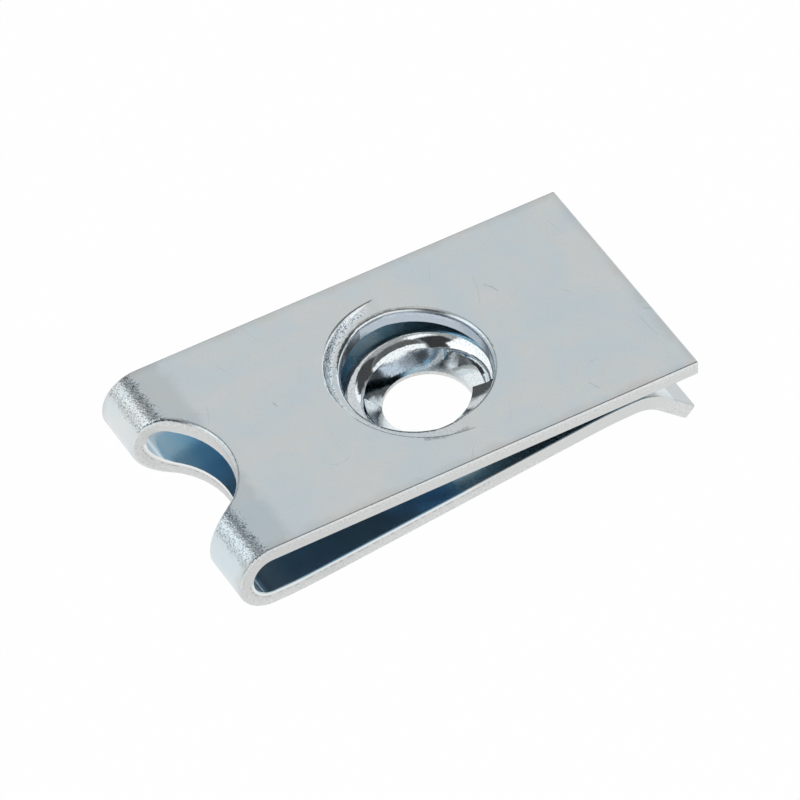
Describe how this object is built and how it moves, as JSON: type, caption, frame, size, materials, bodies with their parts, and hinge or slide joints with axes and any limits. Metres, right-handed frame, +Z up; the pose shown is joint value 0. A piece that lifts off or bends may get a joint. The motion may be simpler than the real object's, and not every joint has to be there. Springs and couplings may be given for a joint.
{
  "type": "u clip speed nut",
  "caption": "Folded spring steel clip that slides over a panel edge and takes a self-tapping screw in a dished, single-thread hole.",
  "frame": {"origin": "middle of the clip in plan, level with the lowest point of its underside", "axes": "+X along the clip from the fold to the open end, +Y across the strip, +Z up out of the flat top leaf"},
  "size_m": [0.0242, 0.013, 0.0036],
  "materials": {
    "zinc_plated_steel": "bright zinc plating with a faint blue tone, satin on the flats"
  },
  "bodies": {
    "root": {"u_clip_nut": "zinc_plated_steel"}
  },
  "joints": []
}
